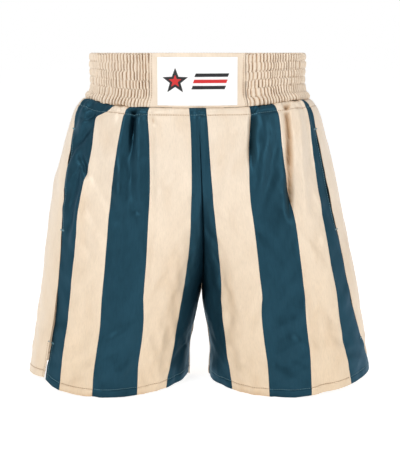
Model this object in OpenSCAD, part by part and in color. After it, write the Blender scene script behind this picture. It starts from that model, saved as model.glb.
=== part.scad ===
// Satin boxing shorts: broad vertical strips gathered into a wide shirred waistband,
// with in-seam side pockets, side vents and a stitched patch on a flat front panel.
// Z = 0 is the hem, the front faces -Y and the wearer's left leg is on +X. Millimetres.

/* [Waistband] */
// Width of the relaxed waist, side to side
waist_w = 316; // [300:2:336]
// Depth of the relaxed waist, front to back
waist_d = 220; // [208:2:232]
// Height of the waistband
waistband_h = 76; // [64:1:88]
// Rows of stitching make this many puffed channels round the elastic
channels = 6; // [4:1:7]
// How far a channel puffs out between two rows of stitching
channel_puff = 1.8; // [1:0.1:2.5]
// Height of a row of stitching, where the layers are pinched flat
stitch_h = 1.2; // [0.8:0.1:2]
// How far alternate tucks of the shirring stand out
tuck = 0.5; // [0:0.1:0.8]
// How far the lowest channel flares where it meets the shorts
flare = 15; // [8:1:18]
// Height of the flared part
flare_h = 20; // [14:1:24]

/* [Front panel and patch] */
// Half angle of the flat panel, measured round the waist
panel_a = 25.4; // [23:0.2:28]
// Half angle of the patch, measured round the waist
patch_a = 20.8; // [18:0.2:22]
// Gap from the waist seam up to the patch
patch_low = 3; // [2:0.5:6]
// Gap from the patch up to the top edge
patch_top = 5.5; // [4:0.5:8]

/* [Legs] */
// Height of the shorts below the waistband
body_h = 420; // [400:5:440]
// Width across both hems
hem_w = 528; // [510:2:540]
// Height of the crotch above the hem
inseam = 146; // [130:2:160]
// Half of the gap between the hems, along the inside of the legs
leg_gap = 15.5; // [10:0.5:20]
// How far the gathered cloth billows at the sides just below the waistband
puff_w = 8; // [4:1:12]
// How far the gathered cloth billows at the front and the back
puff_d = 8; // [4:1:10]
// Half width of the centre front stripe at the waist
centre_stripe_waist = 11.5; // [8:0.5:16]
// Distance from the middle to the centre stripe's outer seam, at the hem
centre_stripe_hem = 50; // [36:1:60]
// Extra depth of the seat
seat = 14; // [8:1:18]
// Height of the stitched hem
hem_h = 12; // [8:1:16]

/* [Side openings] */
// Height of the vent at the foot of each side seam
vent_h = 68; // [50:2:90]
// Half angle that the vent gapes at the hem
vent_a = 2.2; // [1:0.1:3]
// Height of the pocket opening's lower end
pocket_low = 239; // [220:1:250]
// Height of the pocket opening's upper end
pocket_high = 381; // [360:1:390]
// Half angle that the pocket opening gapes at its middle
pocket_a = 0.5; // [0.2:0.1:1]
// Hollow depth of the pocket bag
bag_depth = 2.4; // [1.5:0.1:4]

/* [Cloth] */
// Thickness of the satin with its backing
cloth = 0.8; // [0.6:0.1:1.2]
// Thickness of the folded hem
hem_cloth = 1.7; // [1.4:0.1:2.4]
// Thickness of the waist elastic, and of the interfacing behind the panel
elastic = 1.4; // [1:0.1:2]
// Thickness of the patch
patch_t = 0.8; // [0.5:0.1:1.2]
// Thickness of a bartack
tack_t = 0.7; // [0.5:0.1:1]

/* [Hidden] */
total_h = body_h + waistband_h;
centre_y = -seat / 2;
crotch_t = 1 - inseam / body_h;
puff_run = 0.02;
gap_run = 0.26;
gather_power = 2;
centre_stripe_power = 1.9;
lining_in = cloth + elastic;
teal = [0.13, 0.29, 0.38];
cream = [0.93, 0.85, 0.74];
white = [0.96, 0.96, 0.95];

// Seams 1 to 11 round one leg, as angles from straight ahead, at the waist and at the hem.
// Seam 5 is the side seam. Seams 0 and 12 are the centre seams and, below the crotch, the inseam.
// Seam 1 is set by its distance from the middle instead.
waist_seams = [0, 0, 27, 40, 58.5, 72, 97, 122, 146, 167, 186, 206];
hem_seams = [0, 0, -21, 9.3, 37.5, 55, 85.5, 116, 146.5, 177, 207.5, 238];
side_seam = 5;

function clamp01(v) = min(1, max(0, v));
function ease(v) = v * v * (3 - 2 * v);
function mix(a, b, f) = a + (b - a) * f;
function sorted(v) =
    len(v) < 2 ? v : let (low = min(v)) concat([low], sorted(without(v, low)));
function without(v, x) = [for (e = v) if (e > x) e];

// The shorts below the waistband: two elliptic legs that merge towards the waist.
// t runs from 0 at the waist seam to 1 at the hem, and a is the angle round the leg.
// soft() shares the merging between a straight and an eased run, so that no ridge shows at the crotch.
function half_w(t) =
    waist_w / 2 + flare + puff_w * (1 - exp(-t / puff_run))
    + (hem_w / 2 - waist_w / 2 - flare - puff_w) * (1.44 * t - 0.44 * t * t);
function soft(v) = let (s = clamp01(v)) mix(s, ease(s), 0.5);
function gap(t) = leg_gap * mix(soft((t - crotch_t) / gap_run), ease(clamp01((t - crotch_t) / gap_run)), 0.65);
function leg_r(t) = t < crotch_t ? half_w(t) / (1 + soft(t / crotch_t)) : (half_w(t) - gap(t)) / 2;
function leg_x(t) = half_w(t) - leg_r(t);
function leg_depth(t, a) =
    waist_d / 2 + puff_d * (1 - exp(-t / puff_run)) + (cos(a) < 0 ? seat * pow(sin(180 * t), 2) : 0);
function front_a(t) = t < crotch_t ? -asin(min(1, leg_x(t) / leg_r(t))) : -90;
function back_a(t) = 180 - front_a(t);
function outward(t, a) =
    let (n = [leg_depth(t, a) * sin(a), -leg_r(t) * cos(a)]) n / norm(n);
function leg_pt(t, a, d) =
    let (n = outward(t, a))
    [
        leg_x(t) + leg_r(t) * sin(a) + d * n[0],
        centre_y - leg_depth(t, a) * cos(a) + d * n[1],
        body_h * (1 - t)
    ];

// Inside the centre seams the two legs are mitred, so that they meet face to face on X = 0.
function on_centre(t, a) =
    t < crotch_t - 0.001 && (abs(a - front_a(t)) < 0.001 || abs(a - back_a(t)) < 0.001);
function inner_pt(t, a, d) =
    on_centre(t, a)
        ? [
            0,
            centre_y - leg_depth(t, a) * cos(a) - d * sign(outward(t, a)[1]) / max(0.35, abs(outward(t, a)[1])),
            body_h * (1 - t)
        ]
        : leg_pt(t, a, -d);

// Seams swing inwards from the gathered waist to the hem.
function centre_stripe_a(t) =
    let (x = mix(centre_stripe_waist, centre_stripe_hem, pow(t, centre_stripe_power)))
    asin(max(-1, (x - leg_x(t)) / leg_r(t)));
function seam_free(k, t) =
    k == 1 ? centre_stripe_a(t) : mix(waist_seams[k], hem_seams[k], 1 - pow(1 - t, gather_power));
function seam_a(k, t) =
    k == 0 ? front_a(t) : k == 12 ? back_a(t) : min(back_a(t), max(front_a(t), seam_free(k, t)));

// Half angle of the opening along the side seam: the pocket above, the vent below.
function slit(t) =
    let (z = body_h * (1 - t))
    z < vent_h ? vent_a * (1 - z / vent_h)
    : z > pocket_low && z < pocket_high
        ? pocket_a * sin(180 * (z - pocket_low) / (pocket_high - pocket_low))
        : 0;

// The last two strips start where the centre back seam has swung past their first seam.
function start_between(k, low, high, n) =
    let (m = (low + high) / 2)
    n == 0 ? high
    : back_a(m) - seam_free(k, m) > 0.25 ? start_between(k, low, m, n - 1) : start_between(k, m, high, n - 1);
function strip_start(k) = k < 10 ? 0 : start_between(k, 0, crotch_t, 30);

function height_t(z) = 1 - z / body_h;
hem_top = height_t(hem_h + 0.8);
key_rows = [
    0, 0.006, 0.014, 0.028, 0.05, strip_start(10), strip_start(11), crotch_t - 0.012, crotch_t,
    height_t(pocket_high), height_t(pocket_low), height_t(vent_h), hem_top, height_t(hem_h), 1
];
plain_rows = [
    for (i = [1 : 21])
    let (t = i / 22)
    if (min([for (k = key_rows) abs(k - t)]) > 0.014) t
];
all_rows = sorted(concat(key_rows, plain_rows));

function strip_rows(k) = [for (t = all_rows) if (t >= strip_start(k)) t];
function strip_cols(k) = k == 0 || k == 10 || k == 11 ? 5 : 3;
function strip_a(k, t, j) =
    let (
        low = seam_a(k, t) + (k == side_seam ? slit(t) : 0),
        high = seam_a(k + 1, t) - (k + 1 == side_seam ? slit(t) : 0)
    )
    mix(low, high, j / strip_cols(k));
function cloth_at(t) = t >= height_t(hem_h) - 0.0001 ? hem_cloth : cloth;
function strip_name(k) = k < side_seam ? str("front_stripe_", k + 1) : str("back_stripe_", k - side_seam + 1);

// The waistband: a is the angle round the waist, d the distance outwards and z the height.
function band_x(z) = waist_w / 2 + flare * ease(clamp01((body_h + flare_h - z) / flare_h));
function band_pt(a, d, z) =
    let (rx = band_x(z), ry = waist_d / 2, n = [ry * sin(a), -rx * cos(a)])
    [rx * sin(a) + d * n[0] / norm(n), centre_y - ry * cos(a) + d * n[1] / norm(n), z];
panel_cols = [-panel_a, -patch_a, -patch_a * 2 / 3, -patch_a / 3, 0, patch_a / 3, patch_a * 2 / 3, patch_a, panel_a];
shirred_n = 72;
shirred_cols = [for (i = [0 : shirred_n]) mix(panel_a, 360 - panel_a, i / shirred_n)];
patch_cols = [for (a = panel_cols) if (abs(a) < panel_a - 0.1) a];
ring_cols = concat(shirred_cols, [for (a = patch_cols) a + 360]);
band_rows = [body_h, body_h + flare_h / 3, body_h + flare_h * 2 / 3, body_h + flare_h, total_h];
channel_h = waistband_h / channels;
// One channel from stitching to stitching, as [height within the channel, share of the puff]
channel_rows = [
    [stitch_h / 2, 0], [channel_h * 0.3, 1], [channel_h * 0.7, 1], [channel_h - stitch_h / 2, 0]
];
cover_rows = concat(
    [[body_h, 0]],
    [for (c = [0 : channels - 1]) for (r = channel_rows) [body_h + c * channel_h + r[0], r[1]]],
    [[total_h - cloth, 0]]
);

// A closed solid between an outer and an inner grid of points. Seen from outside, the columns
// run to the right where the rows run up, or to the left where they run down. A ring has no side faces.
module shell(outer, inner, ring = false) {
    rows = len(outer);
    cols = len(outer[0]);
    last = ring ? cols - 1 : cols - 2;
    base = rows * cols;
    points = concat([for (r = outer) each r], [for (r = inner) each r]);
    faces = concat(
        [
            for (i = [0 : rows - 2])
            for (j = [0 : last])
            let (a = i * cols + j, b = i * cols + (j + 1) % cols, c = b + cols, d = a + cols)
            each [[a, c, b], [a, d, c], [base + a, base + b, base + c], [base + a, base + c, base + d]]
        ],
        [
            for (j = [0 : last])
            let (a = j, b = (j + 1) % cols, c = a + (rows - 1) * cols, d = b + (rows - 1) * cols)
            each [[a, base + b, base + a], [a, b, base + b], [c, base + d, d], [c, base + c, base + d]]
        ],
        ring ? [] : [
            for (i = [0 : rows - 2])
            let (a = i * cols, b = a + cols, c = a + cols - 1, d = c + cols)
            each [[a, base + b, b], [a, base + a, base + b], [c, d, base + d], [c, base + d, base + c]]
        ]
    );
    polyhedron(points, faces);
}

// A shell on the waistband between two distances, over some columns and heights
module band(cols, rows, out, in, ring = false) {
    shell(
        [for (z = rows) [for (a = cols) band_pt(a, out, z)]],
        [for (z = rows) [for (a = cols) band_pt(a, in, z)]],
        ring
    );
}

// The plain satin panel at the centre front, turned over the top edge
module waistband_front_panel() {
    color(cream)
        shell(
            concat(
                [for (z = band_rows) [for (a = panel_cols) band_pt(a, 0, z)]],
                [[for (a = panel_cols) band_pt(a, -lining_in, total_h)]]
            ),
            concat(
                [for (z = band_rows) [for (a = panel_cols) band_pt(a, -cloth, min(z, total_h - cloth))]],
                [[for (a = panel_cols) band_pt(a, -lining_in, total_h - cloth)]]
            )
        );
}

// The satin shirred over the elastic from one edge of the panel to the other
module waistband_shirred_cover() {
    function puffed(i, r) = r[1] * (channel_puff + (i % 2 == 0 ? -tuck : tuck));
    cols = [for (i = [0 : shirred_n]) i];
    color(cream)
        shell(
            concat(
                [for (r = cover_rows) [for (i = cols) band_pt(shirred_cols[i], puffed(i, r), r[0])]],
                [[for (i = cols) band_pt(shirred_cols[i], 0, total_h)]],
                [[for (i = cols) band_pt(shirred_cols[i], -lining_in, total_h)]]
            ),
            concat(
                [for (r = cover_rows) [for (i = cols) band_pt(shirred_cols[i], puffed(i, r) - cloth, r[0])]],
                [[for (i = cols) band_pt(shirred_cols[i], -cloth - 0.01, total_h - cloth)]],
                [[for (i = cols) band_pt(shirred_cols[i], -lining_in, total_h - cloth)]]
            )
        );
}

// The plain lining, a full ring inside the waistband
module waistband_lining() {
    color(cream * 0.9)
        band(ring_cols, band_rows, -lining_in, -lining_in - cloth, true);
}

// The elastic between the cover and the lining
module waist_elastic() {
    color(white)
        band(
            shirred_cols, [body_h + stitch_h, body_h + flare_h, total_h - cloth], -cloth, -lining_in
        );
}

// The stiff layer that keeps the front panel flat
module front_panel_interfacing() {
    color(white * 0.9)
        band(panel_cols, [body_h + stitch_h, body_h + flare_h, total_h - cloth], -cloth, -lining_in);
}

// The plain patch stitched on the front panel
module front_patch() {
    color(white)
        band(
            patch_cols,
            [body_h + patch_low, body_h + flare_h * 2 / 3, body_h + flare_h, total_h - patch_top],
            patch_t,
            0
        );
}

// The label sewn inside the centre back
module care_label() {
    middle = shirred_n / 2;
    color(white)
        band(
            [for (i = [middle - 2 : middle + 2]) shirred_cols[i]],
            [body_h + flare_h + 8, total_h - 16],
            -lining_in - cloth,
            -lining_in - cloth - 0.5
        );
}

// One strip of the left leg, from seam k to seam k + 1
module strip(k) {
    color(k % 2 == 0 ? teal : cream)
        shell(
            [for (t = strip_rows(k)) [for (j = [0 : strip_cols(k)]) leg_pt(t, strip_a(k, t, strip_cols(k) - j), 0)]],
            [
                for (t = strip_rows(k))
                [for (j = [0 : strip_cols(k)]) inner_pt(t, strip_a(k, t, strip_cols(k) - j), cloth_at(t))]
            ]
        );
}

// The thin bag that hangs inside the left leg behind the pocket opening. It is open at the side seam.
module pocket_bag() {
    wall = 0.5;
    k = side_seam - 1;
    top = height_t(pocket_high) - 0.001;
    bottom = height_t(pocket_low - 34);
    rows = [for (t = all_rows) if (t >= top && t <= bottom) t];
    hollow = [for (i = [1 : len(rows) - 2]) rows[i]];
    function col_a(t, c) = c < 4 ? strip_a(k, t, 3 - c) : strip_a(k - 1, t, 3 - (c - 3));
    module bag(bag_rows, cols, near, far, mouth) {
        shell(
            [for (t = bag_rows) [for (c = cols) leg_pt(t, col_a(t, c) + (c == 0 ? mouth : 0), -near)]],
            [for (t = bag_rows) [for (c = cols) leg_pt(t, col_a(t, c) + (c == 0 ? mouth : 0), -far)]]
        );
    }
    color(white * 0.92)
        difference() {
            bag(rows, [0 : 5], cloth, cloth + 2 * wall + bag_depth, 0);
            bag(hollow, [0 : 4], cloth + wall, cloth + wall + bag_depth, 1);
        }
}

// A short bar of dense stitching across the left side seam at height z
module side_tack(z) {
    t = height_t(z);
    half = degrees_of(t, 5);
    color(cream * 0.85)
        shell(
            [for (s = [0, 1]) [for (j = [1, 0, -1]) leg_pt(t + (s - 0.5) * 2.4 / body_h, tack_a(t, j, half), tack_t)]],
            [for (s = [0, 1]) [for (j = [1, 0, -1]) leg_pt(t + (s - 0.5) * 2.4 / body_h, tack_a(t, j, half), -0.1)]]
        );
}
function degrees_of(t, mm) = mm / leg_depth(t, 0) * 180 / PI;
function tack_a(t, j, half) = seam_a(side_seam, t) + j * half;

tack_names = ["pocket_top_bartack", "pocket_bottom_bartack", "vent_bartack"];
tack_heights = [pocket_high, pocket_low, vent_h];
sides = ["left", "right"];

waistband_front_panel();
waistband_shirred_cover();
waistband_lining();
waist_elastic();
front_panel_interfacing();
front_patch();
care_label();
for (k = [0 : 11]) {
    strip(k);
    mirror([1, 0, 0]) strip(k);
}
pocket_bag();  // left_pocket_bag
mirror([1, 0, 0]) pocket_bag();  // right_pocket_bag
for (i = [0 : 2]) {
    side_tack(tack_heights[i]);
    mirror([1, 0, 0]) side_tack(tack_heights[i]);
}
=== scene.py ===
"""The looks of the satin boxing shorts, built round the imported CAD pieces.

Lengths are metres and angles are degrees. The angle round a leg runs from straight ahead,
past the outer side, to the inseam. Each leg is worked out on the wearer's left (+X) and
mirrored for the right. All the strips of half a leg are cut from one smooth surface, so
neighbours share their edges.
"""

import math

import bpy
import numpy as np
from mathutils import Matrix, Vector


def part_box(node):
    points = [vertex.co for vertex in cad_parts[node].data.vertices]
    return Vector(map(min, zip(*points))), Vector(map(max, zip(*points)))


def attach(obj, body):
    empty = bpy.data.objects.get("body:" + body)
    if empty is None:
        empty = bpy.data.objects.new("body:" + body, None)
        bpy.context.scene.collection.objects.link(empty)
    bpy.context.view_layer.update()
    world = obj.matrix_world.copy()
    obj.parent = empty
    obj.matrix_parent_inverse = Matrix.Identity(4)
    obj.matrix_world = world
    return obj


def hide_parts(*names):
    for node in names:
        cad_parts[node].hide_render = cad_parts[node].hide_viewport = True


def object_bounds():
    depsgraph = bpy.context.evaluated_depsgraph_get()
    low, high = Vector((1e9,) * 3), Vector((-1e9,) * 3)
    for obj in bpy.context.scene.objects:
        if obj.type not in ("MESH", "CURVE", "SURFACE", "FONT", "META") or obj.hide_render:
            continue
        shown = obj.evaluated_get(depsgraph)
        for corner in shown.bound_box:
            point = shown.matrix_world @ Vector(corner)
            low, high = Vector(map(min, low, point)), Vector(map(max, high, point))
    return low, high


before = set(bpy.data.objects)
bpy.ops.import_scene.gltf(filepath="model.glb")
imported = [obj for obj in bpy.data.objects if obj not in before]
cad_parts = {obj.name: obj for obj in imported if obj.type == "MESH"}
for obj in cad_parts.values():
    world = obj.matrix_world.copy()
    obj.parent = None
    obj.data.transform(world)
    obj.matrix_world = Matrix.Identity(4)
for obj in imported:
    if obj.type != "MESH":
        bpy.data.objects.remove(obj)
cad_box = [list(corner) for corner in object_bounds()]

# Sizes of the garment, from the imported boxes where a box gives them
TOP_Z = cad_box[1][2]
SEAM_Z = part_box("left_front_stripe_3")[1][2]
HALF_HEM = cad_box[1][0]
HALF_WAIST, WAIST_DEPTH = 0.158, 0.110
FLARE, FLARE_H = 0.008, 0.020
PUFF_W, PUFF_D, PUFF_RUN = 0.015, 0.008, 0.020
SEAT, CENTRE_Y = 0.014, -0.007
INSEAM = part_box("left_back_stripe_7")[0][2] + 0.146
LEG_GAP, GAP_RUN = 0.0155, 0.26
CROTCH_T = 1 - INSEAM / SEAM_Z
CLOTH, HEM_CLOTH, ELASTIC = 0.0008, 0.0016, 0.0014
HEM_H, HEM_STITCH_Z = 0.0126, 0.0115
WAIST_STITCH_DROP = 0.0098
VENT_H, VENT_A = 0.068, 0.25
POCKET_LOW, POCKET_HIGH, POCKET_A = 0.239, 0.381, 0.03
BAG_LOW, BAG_CORNER = 0.205, 0.04
PANEL_A, PATCH_A = 25.4, 20.8
PATCH_LOW, PATCH_TOP = 0.003, 0.0055
CHANNELS = 6
GATHER_POWER = 2.0
SIDE_SEAM, LAST_SEAM = 5, 12
FRONT_COLS, BACK_COLS = 24, 12
AROUND = 0.125  # metres of cloth to a radian round a leg, near enough
HEM_EDGE = 0.0009  # the hem's doubled cloth starts this far above HEM_H
HEM_EDGE_RUN = 0.0015  # and is at its full thickness this much lower
CENTRE_RUN = 0.012  # cloth this near a centre seam is held in the middle plane
CENTRE_AROUND = 0.12  # metres of cloth to a radian there
INSEAM_STRIP = 10  # from this strip on, a strip ends at the inseam
NARROWEST = 0.3  # a strip starts where it is this many degrees wide
BAG_ROWS, BAG_COLS = 40, 24

# Seam 1 by its distance from the middle, at the waist and the hem
CENTRE_STRIPE = (0.0120, 0.0495)
# Seams 2 to 5 as angles at these parts of the way down, and seams 6 to 11 as angles at the waist
# and the hem.
# The cloth of the two legs has slipped a little differently along the gathers.
SEAM_T = [0, 0.15, 0.35, 0.6, 0.82, 1]
FRONT_SEAMS = {
    "left": [
        [26, 13.5, -2.5, -15.5, -18.2, -17], [40, 32, 23.5, 14, 12, 11.3],
        [63, 55, 46.5, 39.5, 40, 44], [68, 63, 59, 55.5, 63, 80],
    ],
    "right": [
        [24, 14, -0.7, -15.5, -22.5, -23], [35.5, 31, 22, 12, 8, 8],
        [54, 47, 41.8, 35.8, 33.5, 34], [76, 67, 58, 48.5, 46.5, 48],
    ],
}
# One seam jogs sideways just below the waist, by this many degrees
SLIPPED_SEAM, SLIP = ("right", 4), -9
BACK_SEAMS = {
    "left": [(97, 101), (122, 128), (146, 155), (167, 182), (186, 210), (206, 238)],
    "right": [(97, 85), (122, 116), (146, 146.5), (167, 177), (186, 207.5), (206, 238)],
}
# The waist seam rides up towards the sides, and the hem towards the vents: metres at these angles
WAIST_RISE = {
    "left": ([0, 20, 36, 50, 70, 90, 135, 180], [0, 0.0005, 0.005, 0.0085, 0.01, 0.0095, 0.005, 0]),
    "right": ([0, 20, 36, 50, 65, 90, 135, 180], [0, 0.0003, 0.0015, 0.004, 0.0085, 0.011, 0.005, 0]),
}
WAIST_RISE_RUN = 0.07
HEM_RISE = {
    ("left", "front"): ([-90, -40, 0, 12, 44, 66, 90], [0.0025, 0, 0, 0.0035, 0.010, 0.014, 0.016]),
    ("left", "back"): ([60, 90, 120, 150, 270], [0.014, 0.014, 0.008, 0, 0]),
    ("right", "front"): ([-90, -60, -25, 0, 34, 41, 48], [0.007, 0.004, 0.0015, 0, 0.003, 0.007, 0.015]),
    ("right", "back"): ([46, 60, 90, 130, 160, 270], [0.019, 0.015, 0.0075, 0.003, 0, 0]),
}
HEM_RISE_RUN = 0.11
SIDES = {"left": 1.0, "right": -1.0}


def clamp01(v):
    return np.clip(v, 0.0, 1.0)


def ease(v):
    v = clamp01(v)
    return v * v * (3 - 2 * v)


def mix(a, b, f):
    return a + (b - a) * f


def smooth_path(at, values, v):
    """A smooth curve through a few points, with no overshoot between them."""
    at, values = np.array(at, float), np.array(values, float)
    slope = np.diff(values) / np.diff(at)
    product = slope[1:] * slope[:-1]
    inner = np.where(product > 0, 2 * product / (slope[1:] + slope[:-1] + 1e-12), 0)
    m = np.concatenate([[slope[0]], inner, [slope[-1]]])
    i = np.clip(np.searchsorted(at, v) - 1, 0, len(at) - 2)
    h = at[i + 1] - at[i]
    f = clamp01((v - at[i]) / h)
    rise = values[i] + (values[i + 1] - values[i]) * f * f * (3 - 2 * f)
    return rise + h * f * (1 - f) * (m[i] * (1 - f) - m[i + 1] * f)


def soft(v):
    return mix(clamp01(v), ease(v), 0.5)


def hump(v, centre, width):
    return np.exp(-(((v - centre) / width) ** 2))


def noise2(u, v, seed):
    """Smooth value noise from -1 to 1, the same on every run."""
    table = np.random.default_rng(seed).uniform(-1, 1, (101, 89))
    u, v = np.broadcast_arrays(np.asarray(u, float), np.asarray(v, float))
    iu, iv = np.floor(u).astype(int), np.floor(v).astype(int)
    fu, fv = u - iu, v - iv
    fu, fv = fu**3 * (fu * (6 * fu - 15) + 10), fv**3 * (fv * (6 * fv - 15) + 10)
    a, b, c, d = iu % 101, (iu + 1) % 101, iv % 89, (iv + 1) % 89
    return mix(mix(table[a, c], table[b, c], fu), mix(table[a, d], table[b, d], fu), fv)


# The legs


def half_width(t):
    puffed = HALF_WAIST + FLARE + PUFF_W * (1 - np.exp(-t / PUFF_RUN))
    return puffed + (HALF_HEM - HALF_WAIST - FLARE - PUFF_W) * (1.44 * t - 0.44 * t * t)


def leg_gap(t):
    run = (t - CROTCH_T) / GAP_RUN
    return LEG_GAP * mix(soft(run), ease(run), 0.65)


def leg_axes(t):
    """(radius across, distance of the leg's middle from the centre) of the elliptic leg."""
    w = half_width(t)
    r = np.where(t < CROTCH_T, w / (1 + soft(t / CROTCH_T)), (w - leg_gap(t)) / 2)
    return r, w - r


def leg_depth(t, a):
    seat = np.where(np.cos(np.radians(a)) < 0, SEAT * np.sin(np.pi * t) ** 2, 0)
    return WAIST_DEPTH + PUFF_D * (1 - np.exp(-t / PUFF_RUN)) + seat


def leg_surface(t, a):
    t, a = np.broadcast_arrays(t, a)
    r, x = leg_axes(t)
    s, c = np.sin(np.radians(a)), np.cos(np.radians(a))
    return np.stack([x + r * s, CENTRE_Y - leg_depth(t, a) * c, SEAM_Z * (1 - t)], -1)


def front_edge(t):
    r, x = leg_axes(t)
    return np.where(t < CROTCH_T, -np.degrees(np.arcsin(np.minimum(1, x / r))), -90.0)


def seam_free(side, k, t):
    if k == 1:
        r, x = leg_axes(t)
        return np.degrees(np.arcsin(np.clip((mix(*CENTRE_STRIPE, t**2) - x) / r, -1, 1)))
    if k <= SIDE_SEAM:
        slipped = SLIP * (1 - ease((t - 0.012) / 0.035)) if (side, k) == SLIPPED_SEAM else 0
        return smooth_path(SEAM_T, FRONT_SEAMS[side][k - 2], t) + slipped
    waist, hem = BACK_SEAMS[side][k - SIDE_SEAM - 1]
    return mix(waist, hem, 1 - (1 - t) ** GATHER_POWER)


def seam_angle(side, k, t):
    front = front_edge(t)
    if k == 0:
        return front
    if k == LAST_SEAM:
        return 180 - front
    return np.clip(seam_free(side, k, t), front, 180 - front)


def waist_rise(side, a):
    return np.interp(np.abs(a), *WAIST_RISE[side])


def slit(z):
    """Half angle of the opening along the side seam: the vent below, the pocket above."""
    vent = VENT_A * clamp01(1 - z / VENT_H)
    pocket = clamp01((z - POCKET_LOW) / (POCKET_HIGH - POCKET_LOW))
    return vent + POCKET_A * np.sin(np.pi * pocket)


def grid_normals(p):
    n = np.cross(np.gradient(p, axis=0), np.gradient(p, axis=1))
    return n / np.maximum(np.linalg.norm(n, axis=-1, keepdims=True), 1e-12)


def leg_rows():
    """Heights of the rows, closer together at the gathers and the hem."""
    below = np.concatenate(
        [
            np.arange(0, WAIST_STITCH_DROP, 0.0009),
            WAIST_STITCH_DROP + np.arange(0, 0.024, 0.0011),
            np.arange(0.0345, 0.15, 0.0019),
            np.arange(0.15, SEAM_Z - 0.0165, 0.0026),
        ]
    )
    near_hem = [0.0150, 0.0138, 0.0128, 0.0121, HEM_STITCH_Z, 0.0109, 0.0100]
    return np.concatenate([SEAM_Z - below, near_hem, np.linspace(0.0085, 0, 6)])


ROW_Z = leg_rows()
ROW_T = (1 - ROW_Z / SEAM_Z)[:, None]

# The middle of the shorts is pulled towards the wearer's left, most of all above the crotch,
# and the sides sway a little the other way above and the same way below
LEAN_T = [0, 0.06, 0.17, 0.31, 0.5, 0.62, 0.7, 0.85, 1]
LEAN_X = [0, 0.0024, 0.0047, 0.007, 0.0092, 0.0078, 0.005, 0.0034, 0.002]
SWAY_T = [0, 0.15, 0.28, 0.5, 0.7, 0.86, 1]
SWAY_X = [-0.0012, -0.0025, -0.0040, 0, 0.0042, 0.0045, 0.0035]

FOLD_FADE = 0.055  # a fold fades in and out over this length, or less where it is short
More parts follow.
